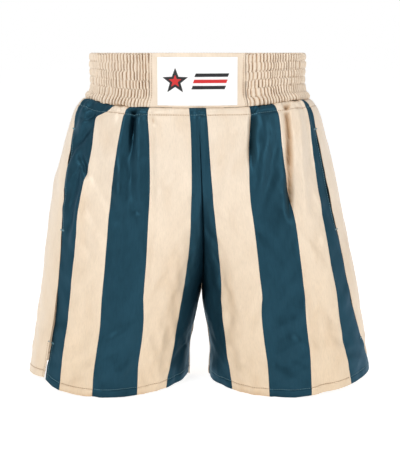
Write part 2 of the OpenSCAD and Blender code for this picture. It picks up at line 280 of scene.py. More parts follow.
# Folds of the front as the eye meets them: height, width on the viewer's left, width on the
# viewer's right, and the (x, z) points that the fold runs through
FOLDS = [
    # the crease down the middle
    (0.0045, 0.0050, 0.0050, [(0.0022, 0.460), (0.0047, 0.349), (0.007, 0.270)]),
    (
        -0.0018, 0.0009, 0.0009,
        [(0.0022, 0.420), (0.0047, 0.349), (0.007, 0.290), (0.0092, 0.210), (0.0078, 0.150)],
    ),
    (-0.0028, 0.0035, 0.0070, [(0.0062, 0.310), (0.007, 0.290), (0.0092, 0.210), (0.0078, 0.150)]),
    # the wearer's right leg, from the middle outwards
    (-0.0028, 0.0055, 0.0035, [(-0.063, 0.430), (-0.063, 0.347), (-0.063, 0.262), (-0.069, 0.144)]),
    (-0.0028, 0.0024, 0.0024, [(-0.070, 0.425), (-0.062, 0.401), (-0.054, 0.390)]),
    (0.0020, 0.0090, 0.0080, [(-0.036, 0.412), (-0.034, 0.362), (-0.028, 0.280)]),
    (-0.0125, 0.0040, 0.0036, [(-0.0885, 0.475), (-0.0895, 0.420), (-0.091, 0.400), (-0.095, 0.340)]),
    (0.0030, 0.0050, 0.0040, [(-0.100, 0.460), (-0.102, 0.420), (-0.108, 0.370)]),
    (-0.0026, 0.0090, 0.0080, [(-0.098, 0.400), (-0.098, 0.350), (-0.096, 0.315), (-0.087, 0.262)]),
    (0.0034, 0.0070, 0.0070, [(-0.084, 0.450), (-0.084, 0.350), (-0.080, 0.258)]),
    (0.0035, 0.0090, 0.0080, [(-0.106, 0.420), (-0.111, 0.346), (-0.114, 0.250)]),
    (-0.0025, 0.0050, 0.0060, [(-0.078, 0.290), (-0.088, 0.275), (-0.100, 0.276)]),
    (-0.0090, 0.0036, 0.0042, [(-0.150, 0.420), (-0.152, 0.404), (-0.172, 0.390)]),
    (0.0070, 0.0050, 0.0050, [(-0.160, 0.420), (-0.164, 0.395), (-0.181, 0.372)]),
    (-0.0085, 0.0044, 0.0044, [(-0.148, 0.396), (-0.165, 0.376), (-0.178, 0.352)]),
    (-0.0100, 0.0040, 0.0046, [(-0.171, 0.352), (-0.165, 0.335), (-0.158, 0.312)]),
    (-0.0060, 0.0055, 0.0040, [(-0.166, 0.370), (-0.172, 0.330), (-0.181, 0.284), (-0.192, 0.212)]),
    (0.0085, 0.0050, 0.0065, [(-0.157, 0.340), (-0.164, 0.312), (-0.173, 0.271), (-0.184, 0.215)]),
    (0.0018, 0.0050, 0.0050, [(-0.145, 0.076), (-0.120, 0.090), (-0.096, 0.106)]),
    (-0.0018, 0.0060, 0.0050, [(-0.148, 0.050), (-0.124, 0.066), (-0.098, 0.088)]),
    (0.0016, 0.0050, 0.0050, [(-0.145, 0.026), (-0.122, 0.046), (-0.101, 0.067)]),
    (-0.0022, 0.0090, 0.0070, [(-0.070, 0.030), (-0.052, 0.052), (-0.040, 0.090)]),
    (0.0026, 0.0018, 0.0018, [(-0.026, 0.050), (-0.019, 0.059), (-0.011, 0.068)]),
    (0.0026, 0.0018, 0.0018, [(-0.022, 0.075), (-0.017, 0.055), (-0.013, 0.032)]),
    # the wearer's left leg, from the middle outwards
    (-0.0026, 0.0050, 0.0050, [(0.046, 0.382), (0.054, 0.387), (0.062, 0.390)]),
    (-0.0026, 0.0050, 0.0060, [(0.029, 0.336), (0.035, 0.350), (0.041, 0.362)]),
    (0.0032, 0.0070, 0.0090, [(0.050, 0.390), (0.045, 0.350), (0.038, 0.300), (0.034, 0.250)]),
    (-0.0095, 0.0034, 0.0056, [(0.080, 0.450), (0.078, 0.417), (0.075, 0.375), (0.074, 0.318)]),
    (0.0040, 0.0110, 0.0130, [(0.098, 0.450), (0.096, 0.395), (0.091, 0.350), (0.082, 0.270)]),
    (-0.0035, 0.0080, 0.0090, [(0.117, 0.405), (0.108, 0.352), (0.096, 0.290), (0.090, 0.250)]),
    (
        -0.0130, 0.0056, 0.0042,
        [(0.126, 0.470), (0.128, 0.412), (0.131, 0.380), (0.132, 0.345), (0.134, 0.250)],
    ),
    (
        0.0060, 0.0055, 0.0075,
        [(0.143, 0.450), (0.145, 0.400), (0.147, 0.365), (0.151, 0.300), (0.156, 0.240)],
    ),
    (-0.0035, 0.0060, 0.0040, [(0.156, 0.414), (0.163, 0.360), (0.170, 0.300)]),
    (-0.0014, 0.0050, 0.0050, [(0.054, 0.195), (0.060, 0.205), (0.067, 0.216)]),
    (-0.0016, 0.0060, 0.0050, [(0.048, 0.150), (0.056, 0.168), (0.064, 0.190)]),
    (-0.0020, 0.0080, 0.0060, [(0.040, 0.090), (0.050, 0.112), (0.062, 0.134)]),
    (0.0024, 0.0080, 0.0070, [(0.044, 0.055), (0.058, 0.078), (0.074, 0.105)]),
    (-0.0020, 0.0070, 0.0060, [(0.052, 0.026), (0.070, 0.048), (0.086, 0.080)]),
    (0.0017, 0.0060, 0.0060, [(0.106, 0.096), (0.128, 0.110), (0.150, 0.126)]),
    (-0.0018, 0.0060, 0.0050, [(0.104, 0.078), (0.130, 0.094), (0.158, 0.110)]),
    (0.0018, 0.0060, 0.0050, [(0.106, 0.058), (0.132, 0.074), (0.160, 0.092)]),
    (-0.0018, 0.0070, 0.0060, [(0.110, 0.036), (0.136, 0.054), (0.168, 0.076)]),
    (0.0016, 0.0060, 0.0060, [(0.116, 0.016), (0.140, 0.030), (0.170, 0.050)]),
    (-0.0040, 0.0050, 0.0050, [(0.190, 0.130), (0.196, 0.112), (0.204, 0.100)]),
    (0.0030, 0.0050, 0.0060, [(0.180, 0.120), (0.190, 0.090), (0.204, 0.060)]),
]


def folds_at(x, z):
    """How far the named folds push the cloth out at the points (x, z)."""
    d = np.zeros_like(x)
    for height, left_w, right_w, line in FOLDS:
        line = np.array(line)
        along = np.concatenate([[0], np.cumsum(np.linalg.norm(np.diff(line, axis=0), axis=1))])
        steps = np.linspace(0, along[-1], 25)
        lx, lz = np.interp(steps, along, line[:, 0]), np.interp(steps, along, line[:, 1])
        near = (np.abs(x - lx.min()) + np.abs(x - lx.max()) < np.ptp(lx) + 0.08) & (
            np.abs(z - lz.min()) + np.abs(z - lz.max()) < np.ptp(lz) + 0.08
        )
        px, pz = x[near], z[near]
        off = np.hypot(px[:, None] - lx, pz[:, None] - lz)
        i = np.argmin(off, axis=1)
        j = np.clip(i, 0, len(steps) - 2)
        ax, az = lx[j + 1] - lx[j], lz[j + 1] - lz[j]
        size = np.hypot(ax, az)
        across = ((px - lx[j]) * -az + (pz - lz[j]) * ax) / size
        place = steps[j] + ((px - lx[j]) * ax + (pz - lz[j]) * az) / size
        width = np.where(across > 0, right_w, left_w)
        fade = min(FOLD_FADE, along[-1] * 0.45)
        alive = ease(place / fade) * ease((along[-1] - place) / fade)
        d[near] += height * alive * np.exp(-((across / width) ** 2))
    return d


# How deep the cloth crinkles in front of each pocket opening
CRINKLE = {"left": 0.0020, "right": 0.0060}


def hem_share(z):
    """1 where the cloth is doubled by the hem, 0 above it."""
    return ease((HEM_H + HEM_EDGE - z) / HEM_EDGE_RUN)


def drape(side, half, t, a, seed):
    """How far the cloth stands out from the plain leg, at each point of a grid."""
    t, a = np.broadcast_arrays(t, a)
    z = SEAM_Z * (1 - t)
    drop = SEAM_Z - z
    swing = 1 - (1 - t) ** GATHER_POWER
    rest = a + swing * 26 * hump(a, 20, 60)
    s = np.radians(rest) * AROUND
    free = ease((np.abs(rest) - PANEL_A + 1) / 5)
    d = np.zeros_like(a)
    # gathers under the shirring, which fade out below it
    pleats = np.abs(noise2(s / 0.0075, z / 0.12, seed)) - 0.35
    broad = noise2(s / 0.0125, z / 0.20, seed + 1)
    gathers = 0.0046 * pleats + 0.0018 * broad
    d += free * gathers * ease((drop + 0.001) / 0.008) * np.exp(-drop / 0.030)
    # the hips
    d += 0.006 * hump(np.abs(a), 90, 30) * hump(t, 0.28, 0.12)
    # pinches right at the waist seam
    pinch = noise2(s / 0.0026, z / 0.012, seed + 2)
    d += mix(0.2, 1, free) * 0.0016 * pinch * ease(drop / 0.002) * np.exp(-drop / 0.0085)
    # long upright waves, deeper at the back
    behind = 1.0 if half == "back" else 0.75
    d += behind * free * 0.0024 * noise2(s / 0.020, z / 0.28, seed + 3) * ease(drop / 0.05)
    d += behind * 0.0040 * noise2(s / 0.048, z / 0.40, seed + 4) * ease(drop / 0.15)
    # slanting creases, both ways
    slant = s + 0.55 * z
    d += 0.0016 * noise2(slant / 0.018, (z - 0.4 * s) / 0.045, seed + 6) * ease(drop / 0.04)
    slant = s - 0.7 * z
    d += 0.0016 * noise2(slant / 0.017, (z + 0.5 * s) / 0.055, seed + 7) * ease(drop / 0.05)
    # creases of the lower leg
    low = ease((0.14 - z) / 0.08)
    d += 0.0022 * low * noise2((s * 0.5 + z) / 0.016, (s - 0.5 * z) / 0.045, seed + 11)
    # the finest unevenness
    d += 0.0002 * noise2(s / 0.0045, z / 0.009, seed + 8)
    # the pinched and the puffed part of the waist seam, and its row of stitching
    d += 0.0008 * hump(drop, 0.0045, 0.0026) - 0.0006 * hump(drop, 0, 0.0012)
    d -= 0.0011 * hump(drop, WAIST_STITCH_DROP, 0.0010)
    # the doubled hem and its row of stitching
    pucker = 0.0004 * noise2(s / 0.0035, 0 * z, seed + 9)
    d += (pucker + 0.0007) * hem_share(z) - 0.0012 * hump(z, HEM_STITCH_Z, 0.0009)
    # the grooves of the seams between strips
    for k in range(1, LAST_SEAM):
        if (k <= SIDE_SEAM) == (half == "front") or k == SIDE_SEAM:
            beside = np.radians(a - seam_angle(side, k, t)) * AROUND
            d -= (0.0007 if k == SIDE_SEAM else 0.0004) * hump(beside, 0, 0.0010)
    # crinkles in front of the pocket opening
    crinkle = noise2(s / 0.012 + 0.5 * z / 0.012, z / 0.024, seed + 10)
    near_side = hump(np.radians(a - seam_angle(side, SIDE_SEAM, t)) * AROUND, -0.010, 0.016)
    d += CRINKLE[side] * crinkle * near_side * ease((z - 0.20) / 0.10)
    return d


# The seams are stiffer than the cloth, so that the drape moves little from side to side
SEAM_PULL = 0.35


def half_leg(side, half, seed):
    """Angles, outer points and normals of half a leg, front or back, in the garment's frame."""
    strips = range(0, SIDE_SEAM) if half == "front" else range(SIDE_SEAM, LAST_SEAM)
    cols = FRONT_COLS if half == "front" else BACK_COLS
    columns = []
    for k in strips:
        low, high = seam_angle(side, k, ROW_T), seam_angle(side, k + 1, ROW_T)
        gape = slit(ROW_Z)[:, None]
        low = low + (gape if k == SIDE_SEAM else 0)
        high = high - (gape if k + 1 == SIDE_SEAM else 0)
        f = np.linspace(0, 1, cols + 1)[None, :]
        columns.append(mix(low, high, f if not columns else f[:, 1:]))
    a = np.concatenate(columns, axis=1)
    base = leg_surface(ROW_T, a)
    base[..., 2] += waist_rise(side, a) * np.exp(-SEAM_Z * ROW_T / WAIST_RISE_RUN)
    base[..., 2] += np.interp(a, *HEM_RISE[side, half]) * ease(1 - ROW_Z[:, None] / HEM_RISE_RUN)
    base[..., 0] *= SIDES[side]
    sway = smooth_path(SWAY_T, SWAY_X, ROW_T)
    middle = 1 - (base[..., 0] / half_width(ROW_T)) ** 2
    base[..., 0] += sway + (smooth_path(LEAN_T, LEAN_X, ROW_T) - sway) * middle
    n = grid_normals(base) * SIDES[side]
    fold = np.zeros_like(a)
    drop = SEAM_Z * ROW_T
    if half == "front":
        fold = folds_at(base[..., 0], SEAM_Z - drop + 0 * a) * ease(drop / 0.005)
        fold *= 1 - 0.6 * hump(drop, WAIST_STITCH_DROP, 0.002)
    d = drape(side, half, ROW_T, a, seed)
    inner_side = a - front_edge(ROW_T) if half == "front" else (180 - front_edge(ROW_T)) - a
    joined = np.where(ROW_T < CROTCH_T, ease(np.radians(inner_side) * CENTRE_AROUND / CENTRE_RUN), 1)
    flat = n * np.array([0, 1, 1])
    held = n * np.array([SEAM_PULL, 1, 1])
    free_way = mix(flat, held, (joined + 0 * a)[..., None])
    outer = base + held * (d * joined)[..., None] + free_way * fold[..., None]
    return a, outer, grid_normals(outer) * SIDES[side]


def leg_point(side, half, z, a):
    """Points and normals of the draped cloth at height z and angles a."""
    angles, outer, normals = legs[side, half]
    i = int(np.clip(np.searchsorted(-ROW_Z, -z) - 1, 0, len(ROW_Z) - 2))
    f = clamp01((ROW_Z[i] - z) / (ROW_Z[i] - ROW_Z[i + 1]))
    found = []
    for grid in (outer, normals):
        rows = [np.stack([np.interp(a, angles[r], grid[r, :, c]) for c in range(3)], -1) for r in (i, i + 1)]
        found.append(mix(rows[0], rows[1], f))
    return found


# Meshes


def add_mesh(name, points, faces, material, smooth=True):
    mesh = bpy.data.meshes.new(name)
    mesh.from_pydata(points.tolist(), [], faces)
    mesh.update()
    piece = bpy.data.objects.new(name, mesh)
    bpy.context.scene.collection.objects.link(piece)
    mesh.materials.append(material)
    mesh.polygons.foreach_set("use_smooth", [smooth] * len(mesh.polygons))
    if smooth:
        mesh.set_sharp_from_angle(angle=math.radians(55))
    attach(piece, "root")
    return piece


def add_shell(name, outer, inner, cloth, material, ring=False, flip=False):
    """A closed sheet between two grids. cloth gives each point its place in the weave."""
    rows, cols = outer.shape[:2]
    index = np.arange(rows * cols).reshape(rows, cols)
    if ring:
        index = np.concatenate([index, index[:, :1]], axis=1)
    a, b, c, d = index[:-1, :-1], index[:-1, 1:], index[1:, 1:], index[1:, :-1]
    front = np.stack([a, d, c, b], -1).reshape(-1, 4)
    base = rows * cols
    back = np.stack([a, b, c, d], -1).reshape(-1, 4) + base
    rims = [(index[0, :-1], index[0, 1:]), (index[-1, 1:], index[-1, :-1])]
    if not ring:
        rims += [(index[1:, 0], index[:-1, 0]), (index[:-1, -1], index[1:, -1])]
    edges = [np.stack([p, q, q + base, p + base], -1) for p, q in rims]
    faces = np.concatenate([front, back] + edges)
    if flip:
        faces = faces[:, ::-1]
    points = np.concatenate([outer.reshape(-1, 3), inner.reshape(-1, 3)])
    piece = add_mesh(name, points, faces.tolist(), material)
    weave = piece.data.attributes.new("cloth", "FLOAT_VECTOR", "POINT")
    weave.data.foreach_set("vector", np.tile(cloth.reshape(-1, 3), (2, 1)).astype(np.float32).ravel())
    return piece


def weave_of(p, number):
    """Where each point of a grid lies in the cloth: across, along, and the piece's own number."""
    rows, cols = p.shape[:2]
    stepped = np.linalg.norm(np.diff(p, axis=1), axis=-1).cumsum(axis=1)
    across = np.concatenate([np.zeros((rows, 1)), stepped], axis=1)
    across = across - across[:, -1:] / 2
    stepped = np.linalg.norm(np.diff(p, axis=0), axis=-1).cumsum(axis=0)
    along = np.concatenate([np.zeros((1, cols)), stepped])
    return np.stack([across, along, np.full(across.shape, float(number))], -1)


def add_sheet(name, node, outer, inner, number, material, ring=False, flip=False):
    """A shell that stands for the CAD's node, which is hidden."""
    piece = add_shell(name, outer, inner, weave_of(outer, number), material, ring, flip)
    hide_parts(node)
    return piece


def stitches_along(path, normals, length=0.0026, gap=0.0008):
    """Single stitches, as (start, end, up), one after the other along a path."""
    path, normals = np.array(path), np.array(normals)
    at = np.concatenate([[0], np.cumsum(np.linalg.norm(np.diff(path, axis=0), axis=1))])
    found = []
    for low in np.arange(gap, at[-1] - length, length + gap):
        ends = [np.array([np.interp(v, at, path[:, i]) for i in range(3)]) for v in (low, low + length)]
        up = np.array([np.interp(low + length / 2, at, normals[:, i]) for i in range(3)])
        found.append((*ends, up))
    return found


def thread(name, stitches, material, radius=0.00034):
    """All the given stitches as one piece: short tapered strands that dive in at both ends."""
    ring = [(math.cos(k * math.tau / 5), math.sin(k * math.tau / 5)) for k in range(5)]
    stations = [(0.0, 0.4, -0.9), (0.18, 1.0, 0.5), (0.82, 1.0, 0.5), (1.0, 0.4, -0.9)]
    points, faces = [], []
    for first, last, up in stitches:
        along = (last - first) / max(np.linalg.norm(last - first), 1e-9)
        up = up - along * (up @ along)
        up = up / max(np.linalg.norm(up), 1e-9)
        side = np.cross(along, up)
        start = len(points)
        for f, fat, rise in stations:
            core = mix(first, last, f) + up * rise * radius
            points.extend(core + (side * x + up * y) * radius * fat for x, y in ring)
        for row in range(start, start + 15, 5):
            for k in range(5):
                p, q = row + k, row + (k + 1) % 5
                faces.append((p, q, q + 5, p + 5))
        faces.append(tuple(range(start + 4, start - 1, -1)))
        faces.append(tuple(range(start + 15, start + 20)))
    return add_mesh(name, np.array(points), faces, material)


# Materials


def nodes_of(name):
    material = bpy.data.materials.new(name)
    material.use_nodes = True
    tree = material.node_tree
    return material, tree, tree.nodes["Principled BSDF"]


def set_inputs(node, **values):
    """Set a node's sockets, which are named with _ for each space."""
    for socket, value in values.items():
        node.inputs[socket.replace("_", " ")].default_value = value


def attribute(tree, name):
    node = tree.nodes.new("ShaderNodeAttribute")
    node.attribute_name = name
    return node.outputs["Vector"]


def part_of(tree, vector, axis):
    node = tree.nodes.new("ShaderNodeSeparateXYZ")
    tree.links.new(vector, node.inputs["Vector"])
    return node.outputs[axis]


def cloth_noise(tree, scale, detail=2.0, rough=0.5):
    """Noise laid out along the cloth's own weave: across, along, and a number per piece."""
    fit = tree.nodes.new("ShaderNodeMapping")
    set_inputs(fit, Scale=scale)
    grain = tree.nodes.new("ShaderNodeTexNoise")
    set_inputs(grain, Scale=1.0, Detail=detail, Roughness=rough)
    tree.links.new(attribute(tree, "cloth"), fit.inputs["Vector"])
    tree.links.new(fit.outputs["Vector"], grain.inputs["Vector"])
    return grain.outputs["Fac"]


def ramp(tree, factor, stops):
    node = tree.nodes.new("ShaderNodeValToRGB")
    while len(node.color_ramp.elements) < len(stops):
        node.color_ramp.elements.new(0.5)
    for element, (place, colour) in zip(node.color_ramp.elements, stops):
        element.position = place
        element.color = (*colour, 1)
    tree.links.new(factor, node.inputs["Fac"])
    return node.outputs["Color"]


def shade(colour, factor):
    return tuple(min(1, c * factor) for c in colour)


# How near the cloth round a fold must be for the painted fold shade to darken it
FOLD_SHADE_REACH = 0.016
# How far down the strips the painted shade towards the hem starts, and where it is darkest
HEM_SHADE_FROM, HEM_SHADE_TO = 0.08, 0.44


def cloth_material(
    name, colour, roughness, yarn=0.00045, depth=0.5, variation=0.08, streak=0.10, warmth=0.0,
    hem_shade=None, tucked=None, depths=None, **finish,
):
    """Woven cloth: broad blotches, streaks of uneven yarn, and bump from warp and weft.

    warmth is how far the darker blotches lean to tan.
    The hem tint is painted shade: the cloth turns darker and warmer towards the hem, where less light
    reaches it.
    The fold tint is painted shade deep in the folds, standing in for the light that has passed from cloth to
    cloth.
    tucked is the painted shade down in the tucks of shirred cloth, which counts them in its "tuck"
    attribute.
    """
    material, tree, bsdf = nodes_of(name)
    blotch = cloth_noise(tree, (30, 10, 1), 3.0)
    streaks = cloth_noise(tree, (420, 45, 1), 3.0, 0.65)
    slub = cloth_noise(tree, (0.45 / yarn, 0.06 / yarn, 1), 2.0, 0.6)
    weft = cloth_noise(tree, (0.05 / yarn, 0.5 / yarn, 1), 1.0)
    warmer = (colour[0], colour[1] * (1 - warmth), colour[2] * (1 - 2.2 * warmth))
    broad = ramp(
        tree, blotch,
        [(0.30, shade(warmer, 1 - variation)), (0.50, colour), (0.70, shade(colour, 1 + variation))],
    )
    uneven = ramp(tree, streaks, [(0.30, (1 - streak,) * 3), (0.55, (1, 1, 1))])
    fine = ramp(tree, slub, [(0.32, (0.88, 0.88, 0.88)), (0.58, (1, 1, 1))])
    layered = broad
    layers = [(uneven, 0.8), (fine, 0.6)]
    # Painted shade: the cloth turns darker and warmer towards the hem, where less light reaches it
    if hem_shade:
        reach = tree.nodes.new("ShaderNodeMapRange")
        set_inputs(reach, From_Min=HEM_SHADE_FROM, From_Max=HEM_SHADE_TO)
        tree.links.new(part_of(tree, attribute(tree, "cloth"), "Y"), reach.inputs["Value"])
        layers.append((ramp(tree, reach.outputs["Result"], [(0.0, (1, 1, 1)), (1.0, hem_shade)]), 1.0))
    # Painted shade: the colour darkens where nearby cloth closes it in, as deep in the folds
    if depths:
        fold_shade_ao = tree.nodes.new("ShaderNodeAmbientOcclusion")
        fold_shade_ao.samples = 8
        set_inputs(fold_shade_ao, Distance=FOLD_SHADE_REACH)
        layers.append((ramp(tree, fold_shade_ao.outputs["AO"], [(0.25, depths), (0.80, (1, 1, 1))]), 1.0))
    ridge = None
    # Painted shade down in the tucks of the shirring
    if tucked:
        ridge = part_of(tree, attribute(tree, "tuck"), "X")
        for operation in ("MULTIPLY", "SINE", "ABSOLUTE"):
            step = tree.nodes.new("ShaderNodeMath")
            step.operation = operation
            step.inputs[1].default_value = math.pi
            tree.links.new(ridge, step.inputs[0])
            ridge = step.outputs["Value"]
        halfway = mix(np.array(tucked), 1, 0.55)
        layers.append((ramp(tree, ridge, [(0.0, tucked), (0.22, tuple(halfway)), (0.55, (1, 1, 1))]), 1.0))
    for layer, strength in layers:
        both = tree.nodes.new("ShaderNodeMix")
        both.data_type, both.blend_type = "RGBA", "MULTIPLY"
        set_inputs(both, Factor=strength)
        tree.links.new(layered, both.inputs["A"])
        tree.links.new(layer, both.inputs["B"])
        layered = both.outputs["Result"]
    tree.links.new(layered, bsdf.inputs["Base Color"])
    patchy = tree.nodes.new("ShaderNodeMapRange")
    set_inputs(patchy, To_Min=roughness - 0.08, To_Max=roughness + 0.10)
    tree.links.new(streaks, patchy.inputs["Value"])
    tree.links.new(patchy.outputs["Result"], bsdf.inputs["Roughness"])
    threads = tree.nodes.new("ShaderNodeMath")
    threads.operation = "ADD"
    tree.links.new(slub, threads.inputs[0])
    tree.links.new(weft, threads.inputs[1])
    bump = tree.nodes.new("ShaderNodeBump")
    set_inputs(bump, Strength=depth, Distance=yarn * 0.3)
    tree.links.new(threads.outputs["Value"], bump.inputs["Height"])
    if tucked:
        pleated = tree.nodes.new("ShaderNodeBump")
        set_inputs(pleated, Strength=0.6, Distance=0.0012)
        tree.links.new(ridge, pleated.inputs["Height"])
        tree.links.new(pleated.outputs["Normal"], bump.inputs["Normal"])
    tree.links.new(bump.outputs["Normal"], bsdf.inputs["Normal"])
    set_inputs(bsdf, **finish)
    return material


CREAM = (0.800, 0.680, 0.550)
TEAL = (0.0170, 0.0560, 0.0840)
# The cream satins take painted shade deep in their folds
CREAM_LOOK = dict(
    variation=0.05, streak=0.06, warmth=0.035, depths=(0.66, 0.50, 0.34),
    Specular_IOR_Level=0.5, Specular_Tint=(1, 0.93, 0.82, 1),
    Sheen_Weight=0.08, Sheen_Roughness=0.4, Coat_Weight=0.10, Coat_Roughness=0.30,
)
cream_satin = cloth_material("cream_satin", CREAM, 0.40, **CREAM_LOOK)
# The shirred satin takes painted shade down in its tucks
shirred_satin = cloth_material("shirred_satin", CREAM, 0.40, tucked=(0.60, 0.41, 0.25), **CREAM_LOOK)
# The cream strips take painted shade towards the hem
striped_cream = cloth_material("striped_cream_satin", CREAM, 0.38, hem_shade=(0.97, 0.90, 0.79), **CREAM_LOOK)
# The teal satin takes painted shade deep in its folds
teal_satin = cloth_material(
    "teal_satin", TEAL, 0.43, variation=0.10, streak=0.16, depths=(0.30, 0.34, 0.36),
    Metallic=0.40, Specular_IOR_Level=0.22, Specular_Tint=(0.22, 0.68, 1, 1),
)
lining_cloth = cloth_material(
    "lining_cloth", shade(CREAM, 0.86), 0.62, yarn=0.0006, depth=0.7, Sheen_Weight=0.2
)
patch_twill = cloth_material(
    "patch_twill", (0.93, 0.93, 0.93), 0.45, yarn=0.0006, variation=0.01, streak=0.02
)
label_satin = cloth_material("label_satin", (0.86, 0.86, 0.84), 0.40, variation=0.03)
pocket_cotton = cloth_material(
    "pocket_cotton", shade(CREAM, 0.80), 0.78, yarn=0.0007, depth=0.8, Sheen_Weight=0.2
)
elastic_knit = cloth_material("elastic_knit", (0.82, 0.82, 0.80), 0.8, yarn=0.0012, depth=0.9)
fusible = cloth_material("fusible", (0.80, 0.80, 0.78), 0.85, yarn=0.0008, depth=0.9)
cream_thread = cloth_material("cream_thread", (0.42, 0.28, 0.17), 0.5, yarn=0.0003, Sheen_Weight=0.2)
pale_thread = cloth_material("pale_thread", (0.80, 0.68, 0.54), 0.5, yarn=0.0003, Sheen_Weight=0.2)
teal_thread = cloth_material("teal_thread", (0.095, 0.230, 0.290), 0.45, yarn=0.0003, Sheen_Weight=0.2)
white_thread = cloth_material("white_thread", (0.84, 0.84, 0.83), 0.5, yarn=0.0003)
black_print = cloth_material("black_embroidery", (0.010, 0.010, 0.012), 0.5, yarn=0.0004, variation=0.05)
red_print = cloth_material("red_embroidery", (0.60, 0.015, 0.015), 0.5, yarn=0.0004, variation=0.05)


# Strips of the legs


def strip_name(k):
    return f"front_stripe_{k + 1}" if k < SIDE_SEAM else f"back_stripe_{k - SIDE_SEAM + 1}"


def strip_thickness():
    return mix(CLOTH, HEM_CLOTH, hem_share(ROW_Z))[:, None, None]


legs = {}
hem_row = int(np.argmin(np.abs(ROW_Z - HEM_STITCH_Z)))
waist_row = int(np.argmin(np.abs(SEAM_Z - ROW_Z - WAIST_STITCH_DROP)))
topstitches = {"teal": [], "cream": []}
for side, sign in SIDES.items():
    for half in ("front", "back"):
        seed = 11 + 40 * (side == "right") + 20 * (half == "back")
        angles, outer, normals = half_leg(side, half, seed)
        centre = 0 if half == "front" else -1
        above = ROW_T[:, 0] < CROTCH_T - 0.001
        flat = normals[:, centre] * np.array([0, 1, 1])
        flat /= np.maximum(np.linalg.norm(flat, axis=-1, keepdims=True), 1e-9)
        normals[above, centre] = flat[above]
        legs[side, half] = (angles, outer, normals)
        inner = outer - normals * strip_thickness()
        first, cols = (0, FRONT_COLS) if half == "front" else (SIDE_SEAM, BACK_COLS)
        count = SIDE_SEAM if half == "front" else LAST_SEAM - SIDE_SEAM
        for i in range(count):
            k = first + i
            start = 0
            if k >= INSEAM_STRIP:
                room = 180 - front_edge(ROW_T[:, 0]) - seam_free(side, k, ROW_T[:, 0])
                start = int(np.argmax(room > NARROWEST))
            rows, span = slice(start, None), slice(i * cols, (i + 1) * cols + 1)
            out = outer[rows, span]
            colour = "teal" if k % 2 == 0 else "cream"
            node = f"{side}_{strip_name(k)}"
            satin = teal_satin if colour == "teal" else striped_cream
            add_sheet(
                f"{node}_satin", node, out, inner[rows, span], 7 * k + 3 * sign, satin,
                flip=side == "right",
            )
            for row in (waist_row, hem_row):
                if row > start:
                    run = outer[row, span] + 0.0002 * normals[row, span]
                    topstitches[colour] += stitches_along(run, normals[row, span])


def edge_run(side, half, low, high, beyond):
    """A line of stitching beside the side seam, from height low to high."""
    path, normals = [], []
    for z in np.linspace(low, high, 24):
        t = 1 - z / SEAM_Z
        sign = -1 if half == "front" else 1
        angle = float(seam_angle(side, SIDE_SEAM, t)) + sign * (float(slit(z)) + beyond)
        p, n = leg_point(side, half, z, angle)
        path.append(p)
        normals.append(n)
    return stitches_along(path, normals)


for side in SIDES:
    for half, colour in (("front", "teal"), ("back", "cream")):
        topstitches[colour] += edge_run(side, half, 0.001, VENT_H + 0.004, 1.6)
    topstitches["teal"] += edge_run(side, "front", POCKET_LOW - 0.003, POCKET_HIGH + 0.003, 1.8)

thread("teal_topstitching", topstitches["teal"], teal_thread)
thread("cream_topstitching", topstitches["cream"], cream_thread)

# Bartacks: a bar of close upright stitches across the side seam
TACKS = {"pocket_top_bartack": POCKET_HIGH, "pocket_bottom_bartack": POCKET_LOW, "vent_bartack": VENT_H}
for side in SIDES:
    for tack, z in TACKS.items():
        bar_stitches = []
        seam = float(seam_angle(side, SIDE_SEAM, 1 - z / SEAM_Z))
        for offset in np.linspace(-2.8, 0.8, 22):
            half = "front" if offset < 0 else "back"
            p, n = leg_point(side, half, z, seam + offset)
            rise = np.array([0, 0, 0.0011])
            bar_stitches.append((p - rise + n * 0.0002, p + rise + n * 0.0002, n))
        piece = thread(f"{side}_{tack}_thread", bar_stitches, teal_thread, radius=0.00026)
        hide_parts(f"{side}_{tack}")

# Pocket bags, hanging inside the two outermost front strips
for side in SIDES:
    bag_z = np.linspace(POCKET_HIGH, BAG_LOW, BAG_ROWS)
    near, far = [], []
    for row, z in enumerate(bag_z):
        t = 1 - z / SEAM_Z
        corner = 1 - math.sqrt(1 - float(clamp01((BAG_LOW + BAG_CORNER - z) / BAG_CORNER)) ** 2)
        side_a = float(seam_angle(side, SIDE_SEAM, t))
        low = mix(float(seam_angle(side, SIDE_SEAM - 1, t)) - 5, side_a - 3, 0.6 * corner)
        across = np.linspace(low, side_a - float(slit(z)) - 0.6, BAG_COLS)
        p, n = leg_point(side, "front", z, across)
        n = n * np.array([1, 1, 0])
        f = np.linspace(0, 1, BAG_COLS)[:, None]
        belly = np.sin(np.pi * f) ** 0.5 * math.sin(math.pi * row / (BAG_ROWS - 1)) ** 0.5
        near.append(p - n * (0.0050 - 0.0002 * belly))
        far.append(p - n * (0.0056 + 0.0026 * belly))
    near, far = np.array(near), np.array(far)
    add_sheet(
        f"{side}_pocket_bag_cotton", f"{side}_pocket_bag", near, far, 61, pocket_cotton,
        flip=side == "right",
    )


# Waistband


def band_x(z):
    return HALF_WAIST + FLARE * ease((SEAM_Z + FLARE_H - z) / FLARE_H)


def band_surface(a, d, z):
    """Points of the waistband at angles a and heights z, d proud of its plain surface."""
    a, d, z = np.broadcast_arrays(a, d, z)
    s, c = np.sin(np.radians(a)), np.cos(np.radians(a))
    rx = band_x(z)
    n = np.stack([WAIST_DEPTH * s, -rx * c], -1)
    n = n / np.linalg.norm(n, axis=-1, keepdims=True)
    turned = (a + 180) % 360 - 180
    rise = np.where(turned > 0, waist_rise("left", turned), waist_rise("right", turned))
    lifted = z + rise * clamp01((TOP_Z - z) / (TOP_Z - SEAM_Z))
    return np.stack([rx * s + d * n[..., 0], CENTRE_Y - WAIST_DEPTH * c + d * n[..., 1], lifted], -1)


def band_arc(a):
    p = band_surface(a, 0, TOP_Z)
    return np.concatenate([[0], np.cumsum(np.linalg.norm(np.diff(p, axis=0), axis=1))])


